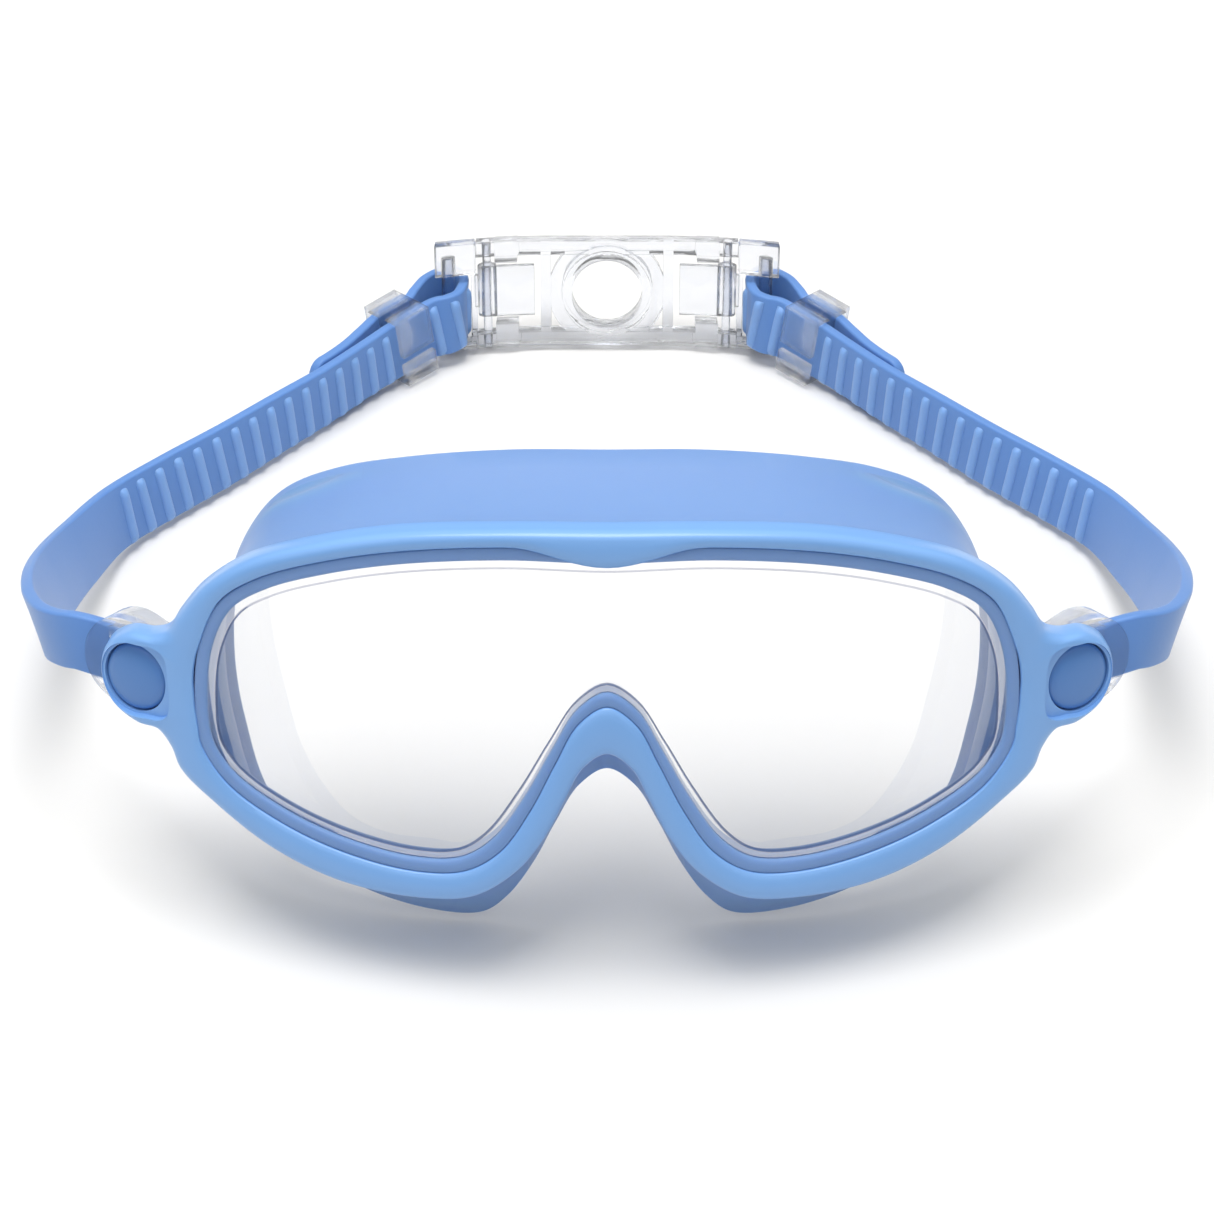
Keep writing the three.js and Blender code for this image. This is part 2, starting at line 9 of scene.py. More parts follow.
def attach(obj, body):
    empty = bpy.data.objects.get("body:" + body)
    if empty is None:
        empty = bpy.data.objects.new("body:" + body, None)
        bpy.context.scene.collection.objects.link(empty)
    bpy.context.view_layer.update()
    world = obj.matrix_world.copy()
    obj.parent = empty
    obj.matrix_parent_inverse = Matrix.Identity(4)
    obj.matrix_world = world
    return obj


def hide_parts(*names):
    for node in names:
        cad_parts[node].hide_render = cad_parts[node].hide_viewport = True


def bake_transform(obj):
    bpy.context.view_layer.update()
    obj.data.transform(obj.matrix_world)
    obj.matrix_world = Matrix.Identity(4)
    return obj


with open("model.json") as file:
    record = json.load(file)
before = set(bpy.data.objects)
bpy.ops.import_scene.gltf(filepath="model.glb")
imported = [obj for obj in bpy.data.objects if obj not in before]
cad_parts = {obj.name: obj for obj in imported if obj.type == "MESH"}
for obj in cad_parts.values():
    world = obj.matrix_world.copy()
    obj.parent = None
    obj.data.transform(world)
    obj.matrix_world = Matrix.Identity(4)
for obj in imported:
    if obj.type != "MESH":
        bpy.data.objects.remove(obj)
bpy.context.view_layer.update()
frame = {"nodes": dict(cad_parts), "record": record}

# Swim goggles. The shapes are worked out in millimetres, as the frame's own parts are, and
# become metres when a mesh is made.
MM = 0.001
RECORD = frame["record"]
SIDES = (("left", -1), ("right", 1))

# ---------- driving sizes ----------
LEAN = math.radians(19)
MASK_AT = Vector((0, -14.71, 15.64))
LENS_RADIUS = 170
LENS_THICKNESS = 1.7
LENS_DEPTH = 1.25
FRAME_BACK = 5.2
PLAY = 0.3

EAR_X, EAR_Z = 71.6, 30.7
BUTTON_X, BUTTON_RADIUS = 1.4, 5.5
STRAP_THICKNESS, STRAP_WIDTH, STRAP_ROOT_WIDTH = 2.2, 13, 9.5
HINGE_AT = Vector((0, 22.2, 37.2))
CLIP_MIDDLE = 7.8
RIB_PITCH, RIB_WIDTH, RIB_HEIGHT = 4.7, 2.3, 0.8

# Half of each ring round the face, from the brow to the nose bridge: x and z of the line where
# the hard frame meets the soft lip, x and z of the frame's outer edge, and x, depth and z of
# the skirt's rim.
FACE = (
    ((0, 57.3), (0, 60.2), (0, 19.5, 66.8)),
    ((15, 57.6), (15, 60.1), (15, 19.8, 66.7)),
    ((30, 56.3), (30.3, 59.0), (30, 20.5, 65.4)),
    ((42, 53.7), (42.8, 56.3), (40.5, 21.8, 63.2)),
    ((51.5, 50.2), (53.1, 52.6), (49.1, 23.5, 59.2)),
    ((57.6, 45.8), (60.4, 47.4), (54.9, 25.3, 52.5)),
    ((61.2, 39.0), (64.5, 40.0), (59.4, 26.8, 41.5)),
    ((62.7, 30.0), (66.2, 30.0), (60.6, 27.5, 30)),
    ((62.1, 21.5), (65.0, 20.9), (59.4, 26.8, 19)),
    ((58.2, 15.8), (60.9, 12.0), (55.5, 24.5, 7)),
    ((50, 10.6), (51.9, 5.8), (48.3, 21.5, -1.3)),
    ((40, 6.8), (41.3, 1.6), (39, 19, -6.3)),
    ((29, 4.8), (29, 0), (28.5, 17.5, -9.3)),
    ((21.5, 5.4), (20.3, 0.9), (20, 17, -9.6)),
    ((16.1, 8.9), (13.5, 5.6), (15.8, 16.5, -6.4)),
    ((11.5, 15.8), (9.1, 11.6), (11.6, 16, -0.2)),
    ((7.7, 23.6), (6.1, 17.9), (8.0, 15.5, 7.2)),
    ((4.2, 30.2), (3.6, 22.8), (4.3, 15, 13.8)),
    ((0, 33), (0, 25.2), (0, 15, 16.6)),
)
# The stretch of the frame's outer edge that swells into the ear, as pairs of lip and edge points
# that take the place of the three pairs beside the ear.
EAR_PAIRS = (
    ((61.6, 37.4), (64.6, 42.4)),
    ((62.1, 35.8), (66.6, 39.5)),
    ((62.4, 34.4), (69.4, 38.3)),
    ((62.6, 33.0), (73.2, 38.0)),
    ((62.7, 31.9), (77.0, 35.4)),
    ((62.7, 30.7), (78.5, 30.7)),
    ((62.7, 29.5), (77.0, 26.0)),
    ((62.7, 28.2), (73.2, 23.4)),
    ((62.6, 26.8), (69.5, 22.8)),
    ((62.4, 24.8), (67.4, 20.2)),
    ((62.0, 21.5), (66.0, 16.6)),
)

# The right strap's middle line and, for each point, the X and Y parts of the direction across
# the band: from the clip round the bend, along the surface to the keeper, round the buckle's
# bar, and back through the keeper to the tail's tip behind the run.
STRAP_ROUTE = (
    ((83.6, 22.2, 37.2), (0, 0.32)),
    ((86.4, 23.6, 36.5), (0.02, 0.28)),
    ((89.9, 27.2, 34.7), (0.08, 0.19)),
    ((93.2, 34.6, 31.0), (0.2, 0.1)),
    ((95.8, 46.5, 25.0), (0.3, 0.04)),
    ((97.7, 60.5, 18.2), (0.32, 0.04)),
    ((97.5, 76.5, 11.5), (0.27, 0.08)),
    ((93.8, 93.0, 7.3), (0.14, 0.13)),
    ((85.9, 103.4, 6.7), (0.1, 0.16)),
    ((76.0, 114.0, 6.7), (0.05, 0.16)),
    ((66.3, 125.4, 6.7), (0, 0.11)),
    ((57.8, 135.2, 6.7), (-0.02, 0.06)),
    ((50.3, 144.4, 7.0), (-0.04, 0.07)),
    ((45.2, 150.0, 7.5), (-0.05, 0.13)),
    ((42.0, 153.2, 7.8), (-0.05, 0.13)),
    ((38.8, 156.4, 8.1), (-0.05, 0.13)),
    ((36.4, 157.9, 8.5), (-0.04, 0.17)),
    ((33.8, 158.6, 8.8), (-0.04, 0.2)),
    ((32.0, 160.2, 9.0), (-0.04, 0.21)),
    ((31.2, 163.0, 9.1), (-0.04, 0.21)),
    ((31.3, 166.0, 9.2), (-0.04, 0.21)),
    ((32.6, 168.5, 9.3), (-0.04, 0.21)),
    ((35.0, 169.2, 9.2), (-0.04, 0.2)),
    ((38.2, 167.2, 8.9), (-0.04, 0.19)),
    ((40.7, 163.9, 8.2), (-0.05, 0.15)),
    ((42.7, 160.3, 7.6), (-0.05, 0.13)),
    ((45.9, 157.1, 7.3), (-0.05, 0.13)),
    ((49.1, 153.9, 7.0), (-0.05, 0.13)),
    ((51.6, 149.5, 6.9), (-0.04, 0.09)),
    ((54.4, 144.2, 6.9), (-0.03, 0.07)),
    ((57.4, 140.0, 6.8), (-0.02, 0.06)),
    ((60.4, 136.4, 6.8), (-0.01, 0.07)),
)

# ---------- places ----------
swing = next(j for j in RECORD["behaviour"]["joints"] if j["name"] == "harness_swing")
SHIFT = Vector(swing["pos_m"]) / MM - HINGE_AT
SHIFT.x = 0
MASK = Matrix.Translation(SHIFT + MASK_AT) @ Matrix.Rotation(-LEAN, 4, "X")


def bow(x):
    """How far back the lens's curve lies at this distance from the middle."""
    return LENS_RADIUS - math.sqrt(LENS_RADIUS**2 - x * x)


EAR_TURN = Matrix.Rotation(math.asin(EAR_X / LENS_RADIUS), 4, "Z")
EAR = MASK @ Matrix.Translation((EAR_X, bow(EAR_X), EAR_Z)) @ EAR_TURN


def to_row(point):
    """A point of the strap's table, moved to where the frame lies."""
    return Vector(point) + SHIFT


def mix(a, b, t):
    return a + (b - a) * t


def smooth(x, low, high):
    t = min(max((x - low) / (high - low), 0), 1)
    return t * t * (3 - 2 * t)


# ---------- curves ----------
class Spline:
    """A centripetal Catmull-Rom curve through its points, open or closed, from t = 0 to 1."""

    def __init__(self, points, closed=False):
        self.points = [Vector(p) for p in points]
        self.closed = closed
        self.spans = len(points) if closed else len(points) - 1

    def _point(self, i):
        count = len(self.points)
        if self.closed:
            return self.points[i % count]
        if i < 0:
            return self.points[0] * 2 - self.points[1]
        if i >= count:
            return self.points[-1] * 2 - self.points[-2]
        return self.points[i]

    def at(self, t):
        place = t * self.spans
        i = math.floor(place)
        if not self.closed:
            i = min(max(i, 0), self.spans - 1)
        u = place - i
        p0, p1, p2, p3 = (self._point(i + k) for k in (-1, 0, 1, 2))
        d1 = max((p2 - p1).length ** 0.5, 1e-4)
        d0 = (p1 - p0).length ** 0.5 or d1
        d2 = (p3 - p2).length ** 0.5 or d1
        m1 = ((p1 - p0) / d0 - (p2 - p0) / (d0 + d1) + (p2 - p1) / d1) * d1
        m2 = ((p2 - p1) / d1 - (p3 - p1) / (d1 + d2) + (p3 - p2) / d2) * d1
        u2, u3 = u * u, u * u * u
        ends = p1 * (2 * u3 - 3 * u2 + 1) + p2 * (3 * u2 - 2 * u3)
        return ends + m1 * (u3 - 2 * u2 + u) + m2 * (u3 - u2)

    def along(self, t, step=1e-4):
        low, high = (t - step, t + step) if self.closed else (max(t - step, 0), min(t + step, 1))
        return (self.at(high) - self.at(low)).normalized()


def half_ring(points):
    """The closed curve of a half outline and its mirror image."""
    other = [Vector((-p.x, p.y, p.z)) for p in reversed(points[1:-1])]
    return Spline(points + other, closed=True)


def flat(pair):
    return Vector((pair[0], 0, pair[1]))


LIP_LINE = half_ring([flat(lip) for lip, _, _ in FACE])
EDGE_LINE = half_ring([flat(edge) for _, edge, _ in FACE])
RIM_LINE = half_ring([Vector(rim) for _, _, rim in FACE])
_frame_pairs = [(lip, edge) for lip, edge, _ in FACE]
_frame_pairs[6:9] = EAR_PAIRS
FRAME_LIP_LINE = half_ring([flat(lip) for lip, _ in _frame_pairs])
FRAME_EDGE_LINE = half_ring([flat(edge) for _, edge in _frame_pairs])


def on_bow(point, out, shift, depth):
    """A point moved outward in the frame's plane, at a depth behind the lens's curve."""
    x = point.x + out.x * shift
    return Vector((x, bow(x) + depth, point.z + out.z * shift))


# ---------- meshes ----------
def skin(loops, ring=False, caps=True):
    """Vertices and faces of a skin over equal loops; on a ring, the last joins the first."""
    size = len(loops[0])
    verts = [p for loop in loops for p in loop]
    faces = []
    for i in range(len(loops) if ring else len(loops) - 1):
        here, there = i * size, (i + 1) % len(loops) * size
        for j in range(size):
            k = (j + 1) % size
            faces.append((here + j, here + k, there + k, there + j))
    if caps and not ring:
        faces.append(tuple(reversed(range(size))))
        faces.append(tuple(range((len(loops) - 1) * size, len(loops) * size)))
    return verts, faces


def lathe(profile, steps):
    """A solid turned about Y from (radius, y) pairs that start and end on the axis."""
    loops = []
    for radius, y in profile[1:-1]:
        angles = [2 * math.pi * k / steps for k in range(steps)]
        loops.append([Vector((radius * math.cos(a), y, radius * math.sin(a))) for a in angles])
    verts, faces = skin(loops, caps=False)
    first, last = len(verts), len(verts) + 1
    verts += [Vector((0, profile[0][1], 0)), Vector((0, profile[-1][1], 0))]
    end = (len(loops) - 1) * steps
    for k in range(steps):
        n = (k + 1) % steps
        faces.append((first, n, k))
        faces.append((last, end + k, end + n))
    return verts, faces


def mesh_of(name, form, place=Matrix.Identity(4), mirror=1):
    """A mesh object from millimetre vertices in a local frame, mirrored in X for the left side."""
    verts, faces = form
    placed = []
    for v in verts:
        p = place @ v
        placed.append((p.x * mirror * MM, p.y * MM, p.z * MM))
    mesh = bpy.data.meshes.new(name)
    mesh.from_pydata(placed, [], faces)
    obj = bpy.data.objects.new(name, mesh)
    bpy.context.collection.objects.link(obj)
    bm = bmesh.new()
    bm.from_mesh(mesh)
    bmesh.ops.remove_doubles(bm, verts=bm.verts, dist=1e-7)
    bmesh.ops.recalc_face_normals(bm, faces=bm.faces)
    bm.to_mesh(mesh)
    bm.free()
    return obj


def soften(obj, angle=35):
    """Smooth shading with edges sharper than the angle left sharp."""
    bm = bmesh.new()
    bm.from_mesh(obj.data)
    for face in bm.faces:
        face.smooth = True
    for edge in bm.edges:
        edge.smooth = len(edge.link_faces) == 2 and edge.calc_face_angle(0) < math.radians(angle)
    bm.to_mesh(obj.data)
    bm.free()
    return obj


def settled(obj):
    """Turns an object's modifiers into plain mesh."""
    graph = bpy.context.evaluated_depsgraph_get()
    plain = bpy.data.meshes.new_from_object(obj.evaluated_get(graph))
    obj.modifiers.clear()
    old = obj.data
    obj.data = plain
    bpy.data.meshes.remove(old)
    return obj


def cut_out(obj, tools):
    for tool in tools:
        cut = obj.modifiers.new("cut", "BOOLEAN")
        cut.operation = "DIFFERENCE"
        cut.solver = "EXACT"
        cut.object = tool
    settled(obj)
    for tool in tools:
        bpy.data.objects.remove(tool, do_unlink=True)
    return obj


def rounded(obj, width, segments=3, angle=30):
    bevel = obj.modifiers.new("bevel", "BEVEL")
    bevel.width = width * MM
    bevel.segments = segments
    bevel.limit_method = "ANGLE"
    bevel.angle_limit = math.radians(angle)
    bevel.harden_normals = False
    return settled(obj)


def from_node(node, name, width, segments=2):
    """A softened copy of a CAD node's shape."""
    mesh = frame["nodes"][node].data.copy()
    obj = bpy.data.objects.new(name, mesh)
    bpy.context.collection.objects.link(obj)
    bm = bmesh.new()
    bm.from_mesh(mesh)
    bmesh.ops.remove_doubles(bm, verts=bm.verts, dist=2e-6)
    bmesh.ops.dissolve_limit(bm, angle_limit=math.radians(1.5), verts=bm.verts, edges=bm.edges)
    bm.to_mesh(mesh)
    bm.free()
    return soften(rounded(obj, width, segments), 40)


# ---------- materials ----------
class Val:
    """A number socket that adds Math nodes as expressions are written on it."""

    def __init__(self, paint, socket):
        self.paint, self.socket = paint, socket

    def _math(self, operation, *values):
        return self.paint.node("ShaderNodeMath", {"operation": operation}, *values)["Value"]

    def __add__(self, other):
        return self._math("ADD", self, other)

    def __radd__(self, other):
        return self._math("ADD", other, self)

    def __sub__(self, other):
        return self._math("SUBTRACT", self, other)

    def __rsub__(self, other):
        return self._math("SUBTRACT", other, self)

    def __mul__(self, other):
        return self._math("MULTIPLY", self, other)

    def __rmul__(self, other):
        return self._math("MULTIPLY", other, self)

    def __pow__(self, other):
        return self._math("POWER", self, other)


class Outputs:
    """A node's outputs by name."""

    def __init__(self, paint, node):
        self.paint, self.node = paint, node

    def __getitem__(self, name):
        return Val(self.paint, self.node.outputs[name])


class Paint:
    """A material's node tree."""

    def __init__(self, name):
        self.material = bpy.data.materials.new(name)
        self.material.use_nodes = True
        self.tree = self.material.node_tree
        self.tree.nodes.clear()

    def node(self, kind, settings=None, *ordered, **named):
        """Adds a node: its settings first, then its sockets by order or by name, as values or links."""
        made = self.tree.nodes.new(kind)
        for key, value in (settings or {}).items():
            setattr(made, key, value)
        sockets = list(zip(made.inputs, ordered))
        sockets += [(made.inputs[key.replace("_", " ")], value) for key, value in named.items()]
        for socket, value in sockets:
            if isinstance(value, Val):
                self.tree.links.new(value.socket, socket)
            elif value is not None:
                socket.default_value = value
        return Outputs(self, made)

    def noise(self, scale, detail=2.0, roughness=0.5):
        where = self.node("ShaderNodeTexCoord")["Object"]
        return self.node(
            "ShaderNodeTexNoise", None, Vector=where, Scale=scale, Detail=detail, Roughness=roughness
        )["Fac"]

    def blend(self, factor, one, two):
        made = self.node("ShaderNodeMix", {"data_type": "RGBA"})
        inputs = made.node.inputs
        for socket, value in ((inputs[0], factor), (inputs[6], one), (inputs[7], two)):
            if isinstance(value, Val):
                self.tree.links.new(value.socket, socket)
            else:
                socket.default_value = value
        return Val(self, made.node.outputs[2])

    def bump(self, height, strength, distance):
        made = self.node("ShaderNodeBump", None, Height=height, Strength=strength, Distance=distance)
        return made["Normal"]

    def finish(self, shader):
        self.node("ShaderNodeOutputMaterial", None, Surface=shader)
        return self.material


def rgb(r, g, b):
    return (r, g, b, 1)


def moulded(name, light, dark, roughness, spread, grain, depth, sheen=0, scatter=0, coat=0):
    """Coloured plastic or silicone: slow colour drift, fine surface grain and uneven gloss."""
    paint = Paint(name)
    drift = paint.noise(38, 3)
    fine = paint.noise(grain, 4, 0.6)
    color = paint.blend(drift * 0.8 + fine * 0.2, dark, light)
    rough = roughness + (drift - 0.5) * spread + (fine - 0.5) * spread
    normal = paint.bump(fine * 0.7 + paint.noise(grain * 0.2, 2) * 0.3, 0.35, depth)
    shader = paint.node(
        "ShaderNodeBsdfPrincipled",
        None,
        Base_Color=color,
        Roughness=rough,
        Normal=normal,
        IOR=1.47,
    )
    inputs = shader.node.inputs
    inputs["Sheen Weight"].default_value = sheen
    inputs["Sheen Roughness"].default_value = 0.5
    inputs["Subsurface Weight"].default_value = scatter
    inputs["Subsurface Radius"].default_value = (0.4, 0.7, 1.0)
    inputs["Subsurface Scale"].default_value = 0.002
    inputs["Coat Weight"].default_value = coat
    inputs["Coat Roughness"].default_value = 0.2
    return paint.finish(shader["BSDF"])


def lighter(tint):
    return rgb(*(min(1, 1.04 * part) for part in tint[:3]))


def clear(name, tint, through, roughness, wave, shade=0):
    """Clear plastic: some light passes straight on, the rest is bent; steep sides get painted shade."""
    paint = Paint(name)
    flow = paint.noise(160, 2)
    haze = paint.noise(900, 3)
    normal = paint.bump(flow, 0.25, wave)
    glass = paint.node(
        "ShaderNodeBsdfPrincipled",
        None,
        Base_Color=paint.blend(haze, tint, lighter(tint)),
        Roughness=roughness + (haze - 0.5) * roughness,
        Normal=normal,
        IOR=1.49,
    )
    glass.node.inputs["Transmission Weight"].default_value = 1.0
    straight = paint.node("ShaderNodeBsdfTransparent", None, Color=rgb(0.975, 0.975, 0.975))
    edge = paint.node("ShaderNodeLayerWeight", None, Blend=0.35)["Facing"]
    # Mixed in on steep sides: a dull surface that is painted shade for the dark edges of clear plastic.
    painted_edge_shade = paint.node(
        "ShaderNodeBsdfPrincipled",
        None,
        Base_Color=paint.blend(haze, rgb(0.36, 0.37, 0.41), rgb(0.42, 0.43, 0.47)),
        Roughness=0.2 + haze * 0.1,
    )
    passing = through * (1 - edge) + haze * 0.02
    joined = paint.node("ShaderNodeMixShader", None, passing, glass["BSDF"], straight["BSDF"])
    steep = edge**3 * shade
    shaded = paint.node("ShaderNodeMixShader", None, steep, joined["Shader"], painted_edge_shade["BSDF"])
    return paint.finish(shaded["Shader"])


# light and dark colour, roughness and its spread, scale of the grain and its height in metres
FRAME_BLUE = moulded(
    "frame_blue", rgb(0.20, 0.41, 0.80), rgb(0.18, 0.38, 0.755), 0.34, 0.08, 1500, 0.00004, coat=0.15
)
SKIRT_BLUE = moulded(
    "skirt_silicone",
    rgb(0.165, 0.30, 0.60),
    rgb(0.145, 0.275, 0.56),
    0.55,
    0.1,
    1100,
    0.00006,
    sheen=0.25,
    scatter=0.25,
)
STRAP_BLUE = moulded(
    "strap_silicone",
    rgb(0.115, 0.265, 0.62),
    rgb(0.095, 0.235, 0.57),
    0.52,
    0.1,
    1300,
    0.00006,
    sheen=0.2,
    scatter=0.12,
)
# The ribs are the strap's own silicone. This lighter copy is painted light, standing in for the light that
# falls on the rib tops.
RIB_PAINTED_LIGHT_BLUE = moulded(
    "rib_silicone_painted_light",
    rgb(0.20, 0.38, 0.76),
    rgb(0.175, 0.35, 0.71),
    0.5,
    0.1,
    1300,
    0.00006,
    sheen=0.2,
    scatter=0.12,
)
BUTTON_BLUE = moulded(
    "button_blue", rgb(0.09, 0.23, 0.56), rgb(0.075, 0.205, 0.51), 0.36, 0.06, 1500, 0.00004, coat=0.1
)
# tint, share of light that passes straight on, roughness, height of the waves, strength of the painted
# shade on steep sides
CLEAR_PLASTIC = clear("clear_plastic", rgb(0.84, 0.86, 0.91), 0.15, 0.05, 0.0002, 0.8)
KEEPER_CLEAR = clear("keeper_plastic", rgb(0.97, 0.975, 0.98), 0.8, 0.05, 0.0002)
LENS_CLEAR = clear("lens_clear", rgb(0.95, 0.96, 0.97), 0.95, 0.01, 0.00001)
LENS_BEVEL = clear("lens_bevel", rgb(0.95, 0.96, 0.98), 0.8, 0.1, 0.00001)
# The step's dark tint is painted shade: the lens is clear, and the dark line stands for the shade where
# the step bends the light.
LENS_STEP_PAINTED_SHADE = clear("lens_step_painted_shade", rgb(0.3, 0.31, 0.42), 0.2, 0.2, 0.00001)


def piece(obj, finish, slot, body, *nodes, across=None):
    """Gives a piece its finish and hides the CAD nodes that it stands for; it rides on its body, or with
    across has its place baked into the mesh.
    """
    obj.data.materials.clear()
    obj.data.materials.append(finish)
    if across:
        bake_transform(obj)
    else:
        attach(obj, body)
    if nodes:
        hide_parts(*nodes)
    return obj


# ---------- camera, floor and light ----------
CAMERA_DISTANCE, CAMERA_HEIGHT, CAMERA_PITCH, CAMERA_LENS = 241, 265, 40, 65.24


FLOOR_HALF = 8  # metres
FLOOR_DROP = 0.0002  # metres below the frame's Z = 0, so that it doesn't touch a flat foot


def place_camera(scene):
    camera = bpy.data.objects.new("camera", bpy.data.cameras.new("camera"))
    camera.data.lens = CAMERA_LENS
    camera.data.sensor_width = 36
    camera.data.clip_start = 0.01
    camera.location = (Vector((0, -CAMERA_DISTANCE, CAMERA_HEIGHT)) + SHIFT) * MM
    camera.rotation_euler = (math.radians(90 - CAMERA_PITCH), 0, 0)
    scene.collection.objects.link(camera)
    scene.camera = camera


def lay_floor(scene):
    paint = Paint("pale_floor")
    base = paint.blend(paint.noise(3, 2), rgb(0.80, 0.79, 0.78), rgb(0.82, 0.81, 0.80))
    shader = paint.node("ShaderNodeBsdfPrincipled", None, Base_Color=base, Roughness=0.9)
    shader.node.inputs["Specular IOR Level"].default_value = 0.1
    paint.finish(shader["BSDF"])
    corners = [(x * FLOOR_HALF, y * FLOOR_HALF, 0) for x, y in ((-1, -1), (1, -1), (1, 1), (-1, 1))]
    mesh = bpy.data.meshes.new("floor")
    mesh.from_pydata(corners, [], [(0, 1, 2, 3)])
    mesh.materials.append(paint.material)
    floor = bpy.data.objects.new("floor", mesh)
    floor.location.z = -FLOOR_DROP
    scene.collection.objects.link(floor)


def light_world(scene):
    """A bright ceiling over darker walls, which draw the edges of clear and glossy parts."""
    world = bpy.data.worlds.new("studio")
    world.use_nodes = True
    tree = world.node_tree
    direction = tree.nodes.new("ShaderNodeTexCoord")
    parts = tree.nodes.new("ShaderNodeSeparateXYZ")
    ramp = tree.nodes.new("ShaderNodeValToRGB")
    background = tree.nodes["Background"]
    tree.links.new(direction.outputs["Generated"], parts.inputs["Vector"])
    tree.links.new(parts.outputs["Z"], ramp.inputs["Fac"])
    tree.links.new(ramp.outputs["Color"], background.inputs["Color"])
    walls, ceiling = ramp.color_ramp.elements
    walls.position, walls.color = 0.18, rgb(0.14, 0.14, 0.13)
    ceiling.position, ceiling.color = 0.62, rgb(1.0, 1.0, 0.97)
    background.inputs["Strength"].default_value = 0.84
    scene.world = world


def hang_light(scene, name, place, target, width, power):
    """A square soft light that points from its place to a target, in metres."""
    light = bpy.data.objects.new(name, bpy.data.lights.new(name, "AREA"))
    light.data.size = width
    light.data.energy = power
    light.location = place
    aim = Vector(target) - Vector(place)
    light.rotation_euler = aim.to_track_quat("-Z", "Y").to_euler()
    scene.collection.objects.link(light)


def studio():
    scene = bpy.context.scene
    place_camera(scene)
    lay_floor(scene)
    light_world(scene)
    hang_light(scene, "key", (-0.05, 0.04, 1.1), (0, -0.02, 0.02), 0.65, 9.6)
    hang_light(scene, "fill", (-0.7, -0.5, 0.8), (0, -0.02, 0.03), 0.6, 0.5)
    scene.view_settings.view_transform = "Standard"


# ---------- frame, skirt and lens ----------
BROW_HALF, BROW_DROP = 14.5, 2.4
BROW_ABOVE = 50  # the brow dips only where the lip is higher than this
FRAME_BAND = 4.6  # a band narrower than this has its edge curves drawn closer together
POCKET_INNER, POCKET_RIM = 6.7, 0.45
BUTTON_PLAY = 0.12
FRAME_STATIONS, SKIRT_STATIONS = 480, 320
LENS_STRIPS = 56
LENS_SIDE = 7.3 / 36  # where the outline turns from top to bottom beside the ear


def brow(x):
    """How far the frame's brow dips over the lens at this distance from the middle."""
    if abs(x) >= BROW_HALF:
        return 0
    return BROW_DROP * math.cos(math.pi * x / BROW_HALF / 2) ** 2


def frame_section(lip, edge):
    """The band's section, from its inner back corner round the front to its outer back corner."""
    out = (edge - lip).normalized()
    near = min(1, (edge - lip).length / FRAME_BAND)
    dip = brow(lip.x) if lip.z > BROW_ABOVE else 0
    deep = min(1, dip)
    loop = [
        on_bow(lip, out, 0, FRAME_BACK),
        on_bow(lip, out, 0, 2.5),
        on_bow(lip, out, 0, mix(0.9, 0.3, deep)),
    ]
    inner = ((0, 0.2), (0.04, -0.04), (0.22, -0.28), (0.9, -0.52), (1.8, -0.7))
    for shift, depth in inner:
        if dip > 0.05 and shift == 0:
            depth = -0.12
        share = 1 - shift / 3.2  # the brow moves the lip's side of the band most
        loop.append(on_bow(lip, out, shift * near - dip * share, depth - 0.35 * deep * share))
    outer = ((1.9, -0.66), (1.15, -0.5), (0.55, -0.12), (0.18, 0.4), (0.0, 1.1))
    for shift, depth in outer:
        loop.append(on_bow(edge, out, -shift * near, depth))
    loop += [
        on_bow(edge, out, 0, 2.6),
        on_bow(edge, out, 0, FRAME_BACK - 0.7),
        on_bow(edge, out, -0.2, FRAME_BACK - 0.2),
        on_bow(edge, out, -0.6, FRAME_BACK),
    ]
    return loop


def pocket():
    """The tool that cuts the button's place: a round hole under a recess, longer toward the lens."""
    loops = []
    wide = BUTTON_RADIUS + POCKET_RIM
    round_hole = BUTTON_RADIUS + BUTTON_PLAY
    # depth, how much wider than the recess, and whether the loop is the round hole
    levels = (
        (7.5, 0, True),
        (0.62, 0, True),
        (0.6, 0, False),
        (-0.2, 0.02, False),
        (-0.7, 0.3, False),
        (-1.5, 0.9, False),
    )
    steps = 96
    for depth, more, hole in levels:
        ring = []
        for k in range(steps):
            angle = 2 * math.pi * k / steps
            c, d = math.cos(angle), math.sin(angle)
            if hole:
                x, z = round_hole * c, round_hole * d
            else:
                square = (abs(c) ** 5 + abs(d) ** 5) ** (-1 / 5)
                reach = 1 if c >= 0 else mix(1, square, min(1, -2.2 * c))
                x = (wide * 1.02 if c >= 0 else POCKET_INNER) * c * reach + more * c
                z = wide * d * reach + more * d * 0.7
            ring.append(Vector((BUTTON_X + x, depth, z)))
        loops.append(ring)
    return skin(loops)


def build_frame():
    stations = [i / FRAME_STATIONS for i in range(FRAME_STATIONS)]
    loops = [frame_section(FRAME_LIP_LINE.at(t), FRAME_EDGE_LINE.at(t)) for t in stations]
    obj = mesh_of("frame_shell", skin(loops, ring=True), MASK)
    cut_out(obj, [mesh_of("pocket_" + side, pocket(), EAR, sign) for side, sign in SIDES])
    soften(obj, 38)
    piece(obj, FRAME_BLUE, "frame", "mask", "frame")


